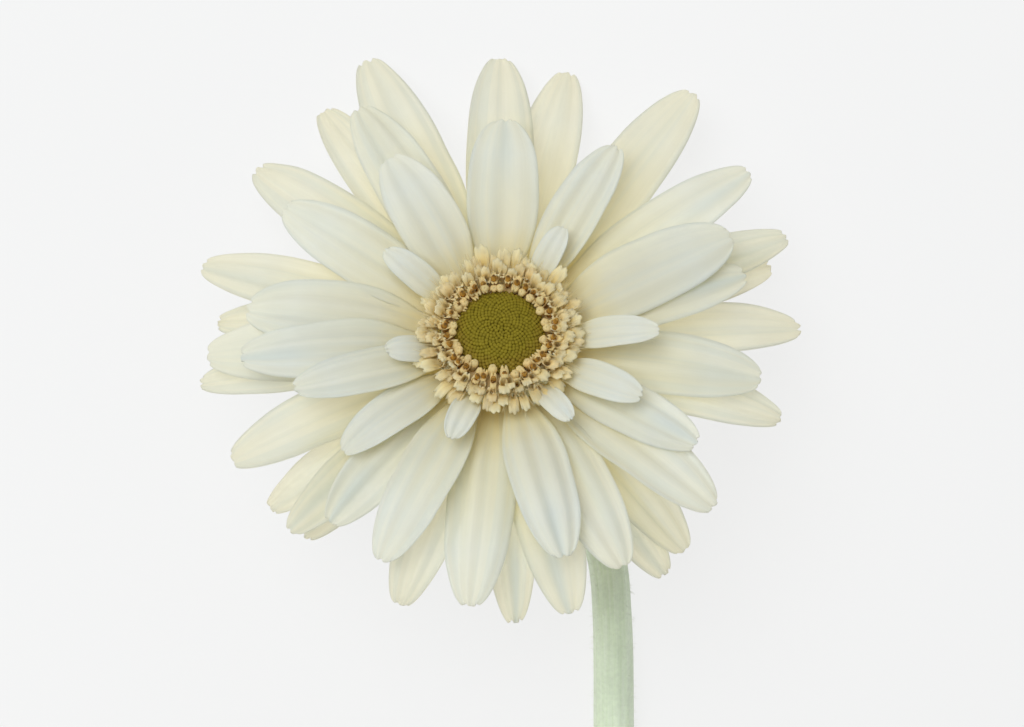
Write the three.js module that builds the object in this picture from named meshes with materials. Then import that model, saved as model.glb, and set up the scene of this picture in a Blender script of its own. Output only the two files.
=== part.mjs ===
// A cut gerbera daisy, lying face up on a table: one white semi-double flower head on a leafless green stem.
// Millimetres, +Z up. The stem lies along -Y, its neck bends up under the head, and the head leans on the
// tips of its far petals. The origin is the middle of the bounding box's underside, on the table.

import * as THREE from "three";

// ---- Driving dimensions ------------------------------------------------------------------------------

const HEAD_TILT = 22; // degrees that the face leans from straight up, away from the stem
const HEAD_HEIGHT = 27.2; // from the table to the middle of the plane where the petals join
const CLAW_RADIUS = 10.3; // where a petal's narrow claw leaves the receptacle
const CLAW_GAP = 0.87; // between the claws of one whorl and the next
const BLADE_THICKNESS = 0.6;
const STEM_LENGTH = 300; // from the neck to the cut, along the table
const NECK_RADIUS = 3.3;
const CUT_RADIUS = 4.6;

const WHITE = 0xf3f0e2;
const CREAM = 0xe6d9b4;
const DISC_GREEN = 0x7f7a24;
const LEAF_GREEN = 0x86a06a;

const radians = THREE.MathUtils.degToRad;

function material(colour, roughness = 0.6) {
  return new THREE.MeshStandardMaterial({ color: colour, roughness, metalness: 0 });
}

function named(name, geometry, skin) {
  const mesh = new THREE.Mesh(geometry, skin);
  mesh.name = name;
  return mesh;
}

// ---- Closed grids ------------------------------------------------------------------------------------
// Each row of points is a closed loop. The side is a band between one loop and the next. The two ends are
// capped by a fan, or where the rows themselves form a ring, the last row is joined to the first.

function closedGrid(rows, { ring = false } = {}) {
  const around = rows[0].length;
  const index = [];
  const at = (row, column) => (row % rows.length) * around + (column % around);
  for (let row = 0; row < rows.length - (ring ? 0 : 1); row++) {
    for (let column = 0; column < around; column++) {
      index.push(at(row, column), at(row, column + 1), at(row + 1, column + 1));
      index.push(at(row, column), at(row + 1, column + 1), at(row + 1, column));
    }
  }
  if (!ring) {
    for (let column = 1; column < around - 1; column++) {
      index.push(at(0, 0), at(0, column + 1), at(0, column));
      index.push(at(rows.length - 1, 0), at(rows.length - 1, column), at(rows.length - 1, column + 1));
    }
  }
  const geometry = new THREE.BufferGeometry().setFromPoints(rows.flat());
  geometry.setIndex(index);
  geometry.computeVertexNormals();
  return geometry;
}

// ---- Ray florets: the petals -------------------------------------------------------------------------
// Each is a thin blade: a narrow claw, widest past the middle, with a blunt tip. Its cross-section is a
// shallow trough or ridge. The head's frame has its origin where the petals join and +Z out of the face.

// Share of the length from claw to tip, and share of the full width there
const BLADE_OUTLINE = [
  [0, 0.2],
  [0.12, 0.4],
  [0.28, 0.74],
  [0.43, 0.94],
  [0.58, 1],
  [0.73, 0.95],
  [0.86, 0.76],
  [0.95, 0.48],
  [1, 0.2],
];

function bladeGeometry({ azimuth, reach, width, tip, claw, arch, cup, lean }) {
  const outward = new THREE.Vector3(Math.cos(radians(azimuth)), Math.sin(radians(azimuth)), 0);
  const sideways = new THREE.Vector3(-outward.y, outward.x, 0);
  const rows = BLADE_OUTLINE.map(([along, share]) => {
    const out = CLAW_RADIUS + (reach - CLAW_RADIUS) * along;
    const height = claw + (tip - claw) * along + 4 * arch * along * (1 - along);
    const half = (width / 2) * share;
    const edge = cup * share * share;
    const roll = half * Math.sin(radians(lean)) * along;
    const point = (side, lift) =>
      outward
        .clone()
        .multiplyScalar(out)
        .addScaledVector(sideways, side * half)
        .setZ(height + (side === 0 ? 0 : edge) + side * roll + (lift * BLADE_THICKNESS) / 2);
    return [point(-1, -1), point(0, -1), point(1, -1), point(1, 1), point(0, 1), point(-1, 1)];
  });
  return closedGrid(rows);
}

// From the back of the head to the front. Each petal is [azimuth in degrees, reach from the axis, width,
// height of its tip above the plane where the petals join]. Azimuth 0 is to the right and 90 is away from
// the stem.
const WHORLS = [
  {
    name: "ray_back",
    arch: 2.5,
    petals: [
      [7, 51, 9.4, -8.5],
      [56, 51, 9, -11],
      [123, 56.5, 10, -9.5],
      [224, 44.5, 9, -8],
      [306, 46, 9, -9],
    ],
  },
  {
    name: "ray_lower",
    arch: 2.5,
    petals: [
      [19, 48, 8.8, -5],
      [78, 55.5, 11, -7],
      [171, 48.5, 8, -9],
      [216, 46, 8.2, -6],
      [273, 46.5, 8.4, -5.5],
      [312, 45.5, 9.6, -6.5],
    ],
  },
  {
    name: "ray_outer",
    arch: 2.5,
    petals: [
      [23, 52.5, 8.8, -2.5],
      [55, 57.5, 11.4, -2],
      [90, 55, 11.5, -4],
      [113, 59, 11.8, -4],
      [141, 54, 10.6, -4],
      [163, 52.5, 9.6, -3],
      [186, 50, 8.4, -5],
      [204, 48, 10.2, -3],
      [223, 46.5, 8.4, -3],
      [250, 47, 10, -3],
      [284, 47, 10.6, -3],
      [346, 48, 8.8, -4],
    ],
  },
  {
    name: "ray_middle",
    arch: 2.4,
    petals: [
      [16.5, 42.5, 10, 0.5],
      [37.5, 53, 9.8, -2.5],
      [119, 50, 10.8, 0],
      [182, 48.5, 11.5, -1],
      [229, 41.5, 9.6, 0],
      [264, 45.5, 11, 0],
      [297, 43.5, 10.4, 0],
      [320, 45, 10.6, 0.5],
      [352, 43.5, 11, 0],
    ],
  },
  {
    name: "ray_upper",
    arch: 2.2,
    petals: [
      [25, 42.5, 12, 3.5],
      [89, 40, 11.8, 3],
      [147, 43, 10.6, 3],
      [172, 42.5, 12, 1.2],
      [244, 43, 9.6, 2.5],
      [329, 37, 9, 3],
    ],
  },
  {
    name: "ray_front",
    arch: 2,
    petals: [
      [60, 39, 8.8, 5.5],
      [121, 36, 10.6, 5.5],
      [186, 42.5, 10, 5],
      [218.5, 32.5, 7.2, 3.5],
      [285, 40, 10, 5],
    ],
  },
  {
    name: "ray_top",
    arch: 1.4,
    petals: [
      [144, 23.5, 5, 6.5],
      [198, 35, 8, 7],
      [332, 26, 6, 7],
      [359, 26, 5.4, 6.5],
    ],
  },
  {
    name: "ray_inner",
    arch: 1,
    petals: [
      [59, 20.5, 4.4, 7.5],
      [193, 19, 4.6, 7.5],
      [248, 21, 4.6, 7],
      [305, 20, 4, 7.5],
    ],
  },
];

const LOWEST_CLAW = -3.4;
const TYPICAL_WIDTH = 11;
// How far a petal's edges rise or fall from its middle, and how far its tip rolls sideways. Both swing from
// petal to petal, so that no two neighbours lie alike.
const MOST_CUP = 0.9;
const MOST_LEAN = 7; // degrees
const CUP_SWING = 2.4; // radians from one petal to the next
const LEAN_SWING = 1.7;

function rayFlorets() {
  const petalSkin = material(WHITE, 0.55);
  return WHORLS.flatMap((whorl, level) =>
    whorl.petals.map(([azimuth, reach, width, tip], number) => {
      const geometry = bladeGeometry({
        azimuth,
        reach,
        width,
        tip,
        claw: LOWEST_CLAW + CLAW_GAP * level,
        arch: whorl.arch,
        cup: MOST_CUP * (width / TYPICAL_WIDTH) * Math.cos(CUP_SWING * number + level),
        lean: MOST_LEAN * Math.sin(LEAN_SWING * number + 2 * level),
      });
      return named(`${whorl.name}_${number + 1}`, geometry, petalSkin);
    }),
  );
}

// ---- Receptacle and disc -----------------------------------------------------------------------------
// The receptacle is the solid head of the stem. It carries the petals round its side and the florets on top.

const RECEPTACLE_RADIUS = 9.8;
const RECEPTACLE_BASE = -13;
const RECEPTACLE_TOP = 3.5;
const JOINT_GAP = 0.3; // between pieces that grow on one another

function turned(profile, sides) {
  const points = profile.map(([radius, height]) => new THREE.Vector2(radius, height));
  return new THREE.LatheGeometry(points, sides).rotateX(Math.PI / 2);
}

function receptacle() {
  const profile = [
    [0, RECEPTACLE_BASE],
    [NECK_RADIUS - 0.2, RECEPTACLE_BASE],
    [4.2, -11.5],
    [6.2, -8.2],
    [8, -5.6],
    [9.4, -4.5],
    [RECEPTACLE_RADIUS, -4.1],
    [RECEPTACLE_RADIUS, RECEPTACLE_TOP - 0.5],
    [9, RECEPTACLE_TOP],
    [0, RECEPTACLE_TOP],
  ];
  return named("receptacle", turned(profile, 28), material(LEAF_GREEN, 0.7));
}

const FLORET_BASE = RECEPTACLE_TOP + JOINT_GAP;
const DISC_RADIUS = 7.3;

function discFlorets() {
  const profile = [
    [0, FLORET_BASE],
    [DISC_RADIUS - 0.4, FLORET_BASE],
    [DISC_RADIUS, FLORET_BASE + 0.7],
    [6.2, FLORET_BASE + 1.5],
    [4, FLORET_BASE + 2.1],
    [0, FLORET_BASE + 2.4],
  ];
  return named("disc_florets", turned(profile, 28), material(DISC_GREEN, 0.8));
}

// ---- Crowns: rings of florets and cups of bracts -----------------------------------------------------
// A crown is a ring of overlapping pieces that grow from one row, so its free edge is toothed. Its wall runs
// along a line of [radius, height] from the root to the tooth tips, with one thickness all the way.

function shifted(line, distance) {
  return line.map(([radius, height], i) => {
    const [r0, h0] = line[Math.max(i - 1, 0)];
    const [r1, h1] = line[Math.min(i + 1, line.length - 1)];
    const length = Math.hypot(r1 - r0, h1 - h0);
    return [radius + ((h1 - h0) / length) * distance, height - ((r1 - r0) / length) * distance];
  });
}

function alongLine(line, share) {
  const place = share * (line.length - 1);
  const i = Math.min(Math.floor(place), line.length - 2);
  const [[r0, h0], [r1, h1]] = [line[i], line[i + 1]];
  return [r0 + (r1 - r0) * (place - i), h0 + (h1 - h0) * (place - i)];
}

function crownGeometry({ line, thickness, teeth, length = 1, valley = 0.7, turn = 0, steps = 4 }) {
  const outside = shifted(line, thickness / 2);
  const inside = shifted(line, -thickness / 2);
  const columns = teeth * 2;
  const rows = Array.from({ length: columns }, (_, column) => {
    const angle = ((column + turn) / columns) * 2 * Math.PI;
    const end = length * (column % 2 ? valley : 1);
    const point = (side, step) => {
      const [radius, height] = alongLine(side, (end * step) / steps);
      return new THREE.Vector3(radius * Math.cos(angle), radius * Math.sin(angle), height);
    };
    const upwards = Array.from({ length: steps + 1 }, (_, step) => point(inside, step));
    const downwards = Array.from({ length: steps + 1 }, (_, step) => point(outside, steps - step));
    return [...upwards, ...downwards];
  });
  return closedGrid(rows, { ring: true });
}

const TRANS_TEETH = 18;

function transFlorets() {
  const skin = material(CREAM, 0.7);
  const innerLine = [
    [8.2, FLORET_BASE + 0.1],
    [8.1, FLORET_BASE + 1.4],
    [7.9, FLORET_BASE + 2.6],
  ];
  const outerLine = [
    [9.6, FLORET_BASE + 0.2],
    [10.4, FLORET_BASE + 1.5],
    [11.8, FLORET_BASE + 2.6],
  ];
  const inner = crownGeometry({ line: innerLine, thickness: 1, teeth: TRANS_TEETH, steps: 2 });
  const outer = crownGeometry({ line: outerLine, thickness: 1.1, teeth: TRANS_TEETH, steps: 2 });
  return [named("trans_florets_inner", inner, skin), named("trans_florets_outer", outer, skin)];
}

// The involucre: three rows of green bracts that clasp the receptacle from below, the innermost row longest

const BRACT_THICKNESS = 0.5;
const BRACT_ROW_GAP = 0.95;
const BRACT_TEETH = 12;

function involucre() {
  const skin = material(LEAF_GREEN, 0.7);
  const clasp = [
    [3.9, -12.8],
    [5.5, -10.7],
    [7.2, -7.9],
    [9, -5.9],
    [11, -5],
    [13.4, -4.8],
  ];
  const rows = [
    ["involucre_inner_bracts", 1],
    ["involucre_middle_bracts", 0.8],
    ["involucre_outer_bracts", 0.6],
  ];
  return rows.map(([name, length], row) => {
    const line = shifted(clasp, BRACT_ROW_GAP * row);
    const crown = crownGeometry({ line, thickness: BRACT_THICKNESS, teeth: BRACT_TEETH, length, turn: row });
    return named(name, crown, skin);
  });
}

// ---- Flower head -------------------------------------------------------------------------------------

function flowerHead() {
  const head = new THREE.Group();
  head.add(receptacle(), discFlorets(), ...transFlorets(), ...involucre(), ...rayFlorets());
  head.rotation.x = -radians(HEAD_TILT);
  head.position.z = HEAD_HEIGHT;
  return head;
}

// ---- Stem --------------------------------------------------------------------------------------------
// One round leafless stalk. It leaves the receptacle along the head's axis, bends to the table and lies there
// beside the axis, thickening towards a slanting cut.

const STEM_SIDES = 12;
const NECK_STRAIGHT = 4; // straight part under the head
const BEND_LENGTH = 60; // along the stem, from the head until it lies down
const BEND_STEPS = 14;
const LYING_STEPS = 14;
const CUT_SLANT = 40; // degrees from square across the stem

function stemRadius(y) {
  return NECK_RADIUS + (CUT_RADIUS - NECK_RADIUS) * THREE.MathUtils.clamp(-y / STEM_LENGTH, 0, 1);
}

function stemPath() {
  const down = new THREE.Vector3(0, -Math.sin(radians(HEAD_TILT)), -Math.cos(radians(HEAD_TILT)));
  const joint = new THREE.Vector3(0, 0, HEAD_HEIGHT).addScaledVector(down, JOINT_GAP - RECEPTACLE_BASE);
  const neck = joint.clone().addScaledVector(down, NECK_STRAIGHT);
  const bend = [new THREE.Vector3(3.4, -12, 7.6), new THREE.Vector3(8.6, -18.5, 4.8)];
  const lying = [
    [14.2, -26],
    [18.2, -36],
    [19.4, -48],
    [19.6, -66],
    [19.6, -100],
    [18.5, -150],
    [15.5, -220],
    [10, -STEM_LENGTH],
  ].map(([x, y]) => new THREE.Vector3(x, y, stemRadius(y)));
  return new THREE.CatmullRomCurve3([joint, neck, ...bend, ...lying], false, "centripetal");
}

function stem() {
  const path = stemPath();
  const bendEnd = BEND_LENGTH / path.getLength();
  const stations = [
    ...Array.from({ length: BEND_STEPS }, (_, i) => (bendEnd * i) / BEND_STEPS),
    ...Array.from({ length: LYING_STEPS + 1 }, (_, i) => 1 - (1 - bendEnd) * (1 - i / LYING_STEPS)),
  ];
  const up = new THREE.Vector3(0, 0, 1);
  let across = new THREE.Vector3(1, 0, 0);
  const rows = stations.map((along, row) => {
    const centre = path.getPointAt(along);
    const ahead = path.getTangentAt(along);
    across = across.addScaledVector(ahead, -across.dot(ahead)).normalize();
    const over = new THREE.Vector3().crossVectors(ahead, across).normalize();
    const radius = stemRadius(centre.y);
    const isCut = row === stations.length - 1;
    return Array.from({ length: STEM_SIDES }, (_, side) => {
      const angle = (side / STEM_SIDES) * 2 * Math.PI;
      const point = centre
        .clone()
        .addScaledVector(across, radius * Math.cos(angle))
        .addScaledVector(over, radius * Math.sin(angle));
      const drop = point.clone().sub(centre).dot(up);
      return isCut ? point.addScaledVector(ahead, -drop * Math.tan(radians(CUT_SLANT))) : point;
    });
  });
  return named("stem", closedGrid(rows), material(LEAF_GREEN, 0.6));
}

// ---- The whole flower, with its underside centred on the origin --------------------------------------

const flower = new THREE.Group();
flower.add(stem(), flowerHead());
flower.updateMatrixWorld(true);
const box = new THREE.Box3().setFromObject(flower, true);
const middle = box.getCenter(new THREE.Vector3());
flower.position.set(-middle.x, -middle.y, -box.min.z);

const gerbera = new THREE.Group();
gerbera.add(flower);

export default gerbera;
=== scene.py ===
from math import cos, pi, radians, sin, sqrt, tan, tau

import bpy
from mathutils import Matrix, Vector
from mathutils.noise import random, seed_set


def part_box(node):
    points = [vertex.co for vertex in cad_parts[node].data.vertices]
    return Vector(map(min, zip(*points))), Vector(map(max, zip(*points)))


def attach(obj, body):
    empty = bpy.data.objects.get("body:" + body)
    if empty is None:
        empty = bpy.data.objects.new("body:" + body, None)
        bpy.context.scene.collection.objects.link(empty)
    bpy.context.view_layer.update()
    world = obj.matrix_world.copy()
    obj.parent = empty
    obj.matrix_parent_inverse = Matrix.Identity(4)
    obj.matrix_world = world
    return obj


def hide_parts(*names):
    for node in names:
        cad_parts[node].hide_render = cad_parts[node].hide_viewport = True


# A cut gerbera daisy lies face up on a pale table: stem, receptacle, bracts, petals, florets and disc.
# Metres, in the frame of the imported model.

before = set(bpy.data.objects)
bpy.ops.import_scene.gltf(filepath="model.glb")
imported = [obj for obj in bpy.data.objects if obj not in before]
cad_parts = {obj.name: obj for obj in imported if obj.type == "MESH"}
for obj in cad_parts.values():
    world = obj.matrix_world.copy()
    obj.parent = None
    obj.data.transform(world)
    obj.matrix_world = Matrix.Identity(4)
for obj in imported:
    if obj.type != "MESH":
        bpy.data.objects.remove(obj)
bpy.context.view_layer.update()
MM = 0.001


# ---- Camera, table and light ----------------------------------------------------------------------------
# The flower lies on a sheet of milky acrylic that glows a little from below, as a light table does, so the
# thin petals are lit from both sides. One large soft lamp hangs over it. The camera looks straight down.

HEAD_TILT = radians(22)
CAMERA_HEIGHT = 480 * MM
CAMERA_LENS = 102.26
TABLE_SIZE = 3.2
TABLE_TONE = (0.12, 0.12, 0.12, 1)
TABLE_GLOW = 0.785
CAMERA_SHIFT = Vector((1.98 * MM, -3.38 * MM, CAMERA_HEIGHT))
LAMP_SIZE = 1.1
LAMP_POWER = 14
LAMP_TONE = (0.95, 0.98, 1)
LAMP_PLACE = (-0.45, 0.55, 1.25)
ROOM_TONE = (0.93, 0.965, 1, 1)
ROOM_GLOW = 0.43

face = Vector((0, sin(HEAD_TILT), cos(HEAD_TILT)))
across = Vector((1, 0, 0))
over = face.cross(across)
core = [v.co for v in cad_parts["receptacle"].data.vertices]
RECEPTACLE_BASE = -13 * MM
core_low, core_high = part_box("receptacle")
lowest_along = min(point.dot(face) for point in core)
across_middle = (core_low.x + core_high.x) / 2
over_middle = (min(p.dot(over) for p in core) + max(p.dot(over) for p in core)) / 2
head_centre = across * across_middle + over * over_middle + face * (lowest_along - RECEPTACLE_BASE)
head_frame = Matrix((across, over, face)).transposed().to_4x4()
head_frame.translation = head_centre


def add(tree, kind, settings=None, values=(), **named):
    """One node, with its settings, its inputs in order, and its inputs by name with _ for a space."""
    node = tree.nodes.new(kind)
    for name, value in (settings or {}).items():
        setattr(node, name, value)
    sockets = [s for s in node.inputs if s.enabled and not s.is_unavailable]
    for socket, value in zip(sockets, values):
        plug(tree, socket, value)
    for name, value in named.items():
        words = name.replace("_", " ").lower()
        plug(tree, next(s for s in sockets if s.name.lower() == words), value)
    return node


def plug(tree, socket, value):
    """Links a node's first output or a socket to the socket, or sets it to a plain value."""
    if value is None:
        return
    if isinstance(value, bpy.types.Node):
        value = next(s for s in value.outputs if s.enabled and not s.is_unavailable)
    if isinstance(value, bpy.types.NodeSocket):
        tree.links.new(value, socket)
    else:
        socket.default_value = value


def own_place(tree):
    """Where a point lies on its own piece, for a texture."""
    return add(tree, "ShaderNodeTexCoord").outputs["Object"]


def noise(tree, place, scale, detail, **more):
    return add(tree, "ShaderNodeTexNoise", Vector=place, Scale=scale, Detail=detail, **more)


def ranged(tree, *values):
    """Carries a value over from one range to another: value, range start and end, results there."""
    return add(tree, "ShaderNodeMapRange", values=values)


def surface(tree, colour, roughness, shine=None, relief=None, **more):
    return add(
        tree, "ShaderNodeBsdfPrincipled", Base_Color=colour, Roughness=roughness, Specular_IOR_Level=shine,
        Normal=relief, **more,
    )


def new_material(name):
    """An empty material, and its tree."""
    material = bpy.data.materials.new(name)
    material.use_nodes = True
    material.node_tree.nodes.clear()
    return material, material.node_tree


def finish_material(tree, shader):
    add(tree, "ShaderNodeOutputMaterial", values=(shader,))


scene = bpy.context.scene
scene.view_settings.view_transform = "Standard"
camera_data = bpy.data.cameras.new("camera")
camera_data.lens = CAMERA_LENS
camera = bpy.data.objects.new("camera", camera_data)
camera.location = head_centre + CAMERA_SHIFT
scene.collection.objects.link(camera)
scene.camera = camera

table_mesh = bpy.data.meshes.new("table")
half = TABLE_SIZE / 2
corners = [(-half, -half, 0), (half, -half, 0), (half, half, 0), (-half, half, 0)]
table_mesh.from_pydata(corners, [], [(0, 1, 2, 3)])
table = bpy.data.objects.new("table", table_mesh)
scene.collection.objects.link(table)
acrylic, tree = new_material("milky_acrylic")
place = own_place(tree)
cloud = noise(tree, place, 2.2, 2)
glow = ranged(tree, cloud, 0.3, 0.7, TABLE_GLOW * 0.97, TABLE_GLOW * 1.03)
skin = surface(tree, TABLE_TONE, 0.5, 0.2, Emission_Color=(1, 1, 0.995, 1), Emission_Strength=glow)
finish_material(tree, skin)
table_mesh.materials.append(acrylic)

lamp_data = bpy.data.lights.new("lamp", "AREA")
lamp_data.size = LAMP_SIZE
lamp_data.energy = LAMP_POWER
lamp_data.color = LAMP_TONE
lamp = bpy.data.objects.new("lamp", lamp_data)
lamp.location = LAMP_PLACE
lamp.rotation_euler = (head_centre - lamp.location).to_track_quat("-Z", "Y").to_euler()
scene.collection.objects.link(lamp)

world = bpy.data.worlds.new("room")
world.use_nodes = True
room = world.node_tree.nodes["Background"].inputs
room["Color"].default_value = ROOM_TONE
room["Strength"].default_value = ROOM_GLOW
scene.world = world


# ---- Ray florets: the petals ----------------------------------------------------------------------------
# Each white petal is one strap-shaped floret, a thin blade of soft tissue with a narrow claw that roots in
# the side of the receptacle. Shallow furrows run along it, and small notches part its tip into teeth.

BLADE_ROWS = 9
CLAW_WIDENING = [1.75, 1.55, 1.28, 1.1]
TIP_WIDENING = [1.1, 1.45]
PETAL_THICKNESS = 0.34 * MM
FURROW_DEPTH = 0.36 * MM
RUFFLE = 0.6 * MM
TIP_NOTCH = 0.42 * MM
TIP_CURL = 0.7 * MM
TABLE_TOUCH = 0.15 * MM
WELD = 0.004 * MM
# Painted shade by layer of petals: 0 for the lowest layer, 1 for the top. The upper layers let less light
# through and read greyer, and the lower, single-layer ones glow.
LAYER_SHADE = {
    "back": 0, "lower": 0, "outer": 0.15, "middle": 0.65, "upper": 0.9, "front": 1, "top": 1, "inner": 1,
}


def new_tree(name, sizes):
    """A Geometry Nodes tree with a geometry input and the named inputs in sizes."""
    tree = bpy.data.node_groups.new(name, "GeometryNodeTree")
    tree.interface.new_socket("Geometry", in_out="INPUT", socket_type="NodeSocketGeometry")
    for label, kind in sizes.items():
        tree.interface.new_socket(label, in_out="INPUT", socket_type="NodeSocket" + kind)
    tree.interface.new_socket("Geometry", in_out="OUTPUT", socket_type="NodeSocketGeometry")
    return tree, tree.nodes.new("NodeGroupInput").outputs


def end_tree(tree, geometry, material, smooth=True):
    """Realizes what was grown, shades it smooth, gives it its material, and puts it out."""
    whole = add(tree, "GeometryNodeRealizeInstances", Geometry=geometry)
    smoothed = add(tree, "GeometryNodeSetShadeSmooth", Geometry=whole, Shade_Smooth=smooth)
    painted = add(tree, "GeometryNodeSetMaterial", Geometry=smoothed, Material=material)
    add(tree, "NodeGroupOutput", values=(painted,))


def new_mesh(name, points, faces=(), edges=()):
    mesh = bpy.data.meshes.new(name)
    mesh.from_pydata(points, edges, faces)
    return mesh


def set_values(mesh, name, numbers):
    """Stores one number for each point of a mesh."""
    mesh.attributes.new(name, "FLOAT", "POINT").data.foreach_set("value", numbers)


def new_object(name, mesh):
    piece = bpy.data.objects.new(name, mesh)
    scene.collection.objects.link(piece)
    return piece


def grown(piece, tree, **sizes):
    """Runs a tree on a piece with these input sizes, and keeps the result as the piece's plain mesh."""
    modifier = piece.modifiers.new("grow", "NODES")
    modifier.node_group = tree
    for item in tree.interface.items_tree:
        key = item.name.replace(" ", "_").lower()
        if item.in_out == "INPUT" and key in sizes:
            modifier[item.identifier] = sizes.pop(key)
    bpy.context.view_layer.update()
    evaluated = piece.evaluated_get(bpy.context.evaluated_depsgraph_get())
    mesh = bpy.data.meshes.new_from_object(evaluated)
    piece.modifiers.remove(modifier)
    mesh.name = piece.name
    piece.data = mesh
    return piece


def hand_in(piece, slot, *nodes):
    """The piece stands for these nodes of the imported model, and rides with the one body."""
    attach(piece, "root")
    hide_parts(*nodes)


def maths(tree, operation, *values):
    return add(tree, "ShaderNodeMath", {"operation": operation}, values)


def plus(tree, *values):
    return maths(tree, "ADD", *values)


def minus(tree, *values):
    return maths(tree, "SUBTRACT", *values)


def times(tree, *values):
    return maths(tree, "MULTIPLY", *values)


def times_plus(tree, *values):
    return maths(tree, "MULTIPLY_ADD", *values)


def smooth_range(tree, *values):
    """Eases between two results as a value crosses a range: value, range start and end, results there."""
    return add(tree, "ShaderNodeMapRange", {"interpolation_type": "SMOOTHSTEP"}, values)


def vector_maths(tree, operation, *values):
    return add(tree, "ShaderNodeVectorMath", {"operation": operation}, values)


def attribute(tree, name, data_type="FLOAT"):
    """A stored value, read inside a Geometry Nodes tree."""
    return add(tree, "GeometryNodeInputNamedAttribute", {"data_type": data_type}, Name=name).outputs[0]


def store(tree, geometry, name, value, data_type="FLOAT", domain="POINT"):
    settings = {"data_type": data_type, "domain": domain}
    return add(tree, "GeometryNodeStoreNamedAttribute", settings, Geometry=geometry, Name=name, Value=value)


def scaled(tree, vector, scale):
    node = vector_maths(tree, "SCALE", vector)
    plug(tree, node.inputs["Scale"], scale)
    return node


def moved(tree, geometry, offset):
    return add(tree, "GeometryNodeSetPosition", Geometry=geometry, Offset=offset)


def thickened(tree, sheet, depth):
    """A closed wall of this depth, grown from a sheet along its normals."""
    wall = scaled(tree, add(tree, "GeometryNodeInputNormal"), depth)
    front = add(
        tree, "GeometryNodeExtrudeMesh", {"mode": "FACES"}, Mesh=sheet, Offset=wall, Individual=False,
        Offset_Scale=1.0,
    )
    back = add(tree, "GeometryNodeFlipFaces", Mesh=sheet)
    closed = add(tree, "GeometryNodeJoinGeometry")
    for part in (front, back):
        tree.links.new(part.outputs["Mesh"], closed.inputs[0])
    return add(tree, "GeometryNodeMergeByDistance", Geometry=closed, Distance=WELD)


def petal_cage(node):
    """The blade's middle surface in the head's frame: rows from claw to tip, each left, middle and right."""
    to_head = head_frame.inverted()
    corners = {}
    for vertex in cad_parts[node].data.vertices:
        local = to_head @ vertex.co
        corners.setdefault(tuple(round(c / MM, 2) for c in local), local)
    points = list(corners.values())
    middle = sum(points, Vector()) / len(points)
    outward = Vector((middle.x, middle.y, 0)).normalized()
    sideways = Vector((-outward.y, outward.x, 0))
    points.sort(key=outward.dot)
    each = len(points) // BLADE_ROWS
    rows = [sorted(points[i * each:(i + 1) * each], key=sideways.dot) for i in range(BLADE_ROWS)]
    cage = [[(row[i] + row[i + 1]) / 2 for i in range(0, each, 2)] for row in rows]
    for row, wider in [*zip(cage, CLAW_WIDENING), *zip(cage[-len(TIP_WIDENING):], TIP_WIDENING)]:
        row[0] = row[1].lerp(row[0], wider)
        row[2] = row[1].lerp(row[2], wider)
    return cage


def build_petal_tree(material):
    tree, given = new_tree("ray_floret", {
        "Thickness": "Float", "Furrow depth": "Float", "Ruffle": "Float",
        "Notch": "Float", "Curl": "Float", "Seed": "Float",
    })
    smooth = {"boundary_smooth": "ALL"}
    sheet = add(tree, "GeometryNodeSubdivisionSurface", smooth, Mesh=given["Geometry"], Level=3)
    along = attribute(tree, "along")
    side = attribute(tree, "side")
    outward = attribute(tree, "outward", "FLOAT_VECTOR")
    seed = given["Seed"]

    # Furrows fade out at the claw and run almost to the tip
    rising = smooth_range(tree, along, 0.08, 0.35, 0, 1)
    falling = smooth_range(tree, along, 0.8, 1, 1, 0.45)
    shift = times_plus(tree, maths(tree, "SINE", seed), 1.5, times(tree, side, 2.6 * pi))
    broad = maths(tree, "COSINE", shift)
    fine = times(tree, maths(tree, "COSINE", times(tree, side, 7.5 * pi)), 0.1)
    furrow = times(tree, plus(tree, broad, fine), times(tree, rising, falling))

    # The margins wave gently, and the whole blade is a little uneven
    place = add(tree, "GeometryNodeInputPosition")
    seeded = add(tree, "ShaderNodeCombineXYZ", X=seed, Y=times(tree, seed, 1.7))
    spot = vector_maths(tree, "ADD", place, vector_maths(tree, "MULTIPLY", seeded, (0.01, 0.01, 0)))
    waves = noise(tree, spot, 95.0, 1.5)
    centred = minus(tree, waves, 0.5)
    margin = times_plus(tree, maths(tree, "POWER", maths(tree, "ABSOLUTE", side), 3), 2.2, 0.9)
    ruffle = times(tree, times(tree, centred, margin), given["Ruffle"])
    bent = times(tree, maths(tree, "POWER", along, 5), given["Curl"])
    lift = plus(tree, times(tree, furrow, given["Furrow depth"]), plus(tree, ruffle, bent))
    raised = scaled(tree, add(tree, "GeometryNodeInputNormal"), lift)

    # Notches between the teeth draw the last of the tip back towards the claw
    teeth = maths(tree, "COSINE", times_plus(tree, side, 0.95 * pi, seed))
    bite = maths(tree, "POWER", maths(tree, "ABSOLUTE", teeth), 6)
    near_tip = maths(tree, "POWER", along, 30)
    pull = times(tree, times(tree, bite, near_tip), given["Notch"])
    drawn = scaled(tree, outward, times(tree, pull, -1))
    shaped = moved(tree, sheet, vector_maths(tree, "ADD", raised, drawn))

    thin = times_plus(tree, maths(tree, "POWER", maths(tree, "ABSOLUTE", side), 4), -0.75, 1)
    end_tree(tree, thickened(tree, shaped, times(tree, given["Thickness"], thin)), material)
    return tree


def colour_ramp(tree, value, stops):
    ramp = add(tree, "ShaderNodeValToRGB", Fac=value)
    elements = ramp.color_ramp.elements
    while len(elements) < len(stops):
        elements.new(0.5)
    for element, (position, colour) in zip(elements, stops):
        element.position = position
    for element, (position, colour) in zip(elements, stops):
        element.color = colour
    return ramp


def read_value(tree, name):
    """A stored value, read inside a material."""
    return add(tree, "ShaderNodeAttribute", {"attribute_name": name}).outputs["Fac"]


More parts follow.
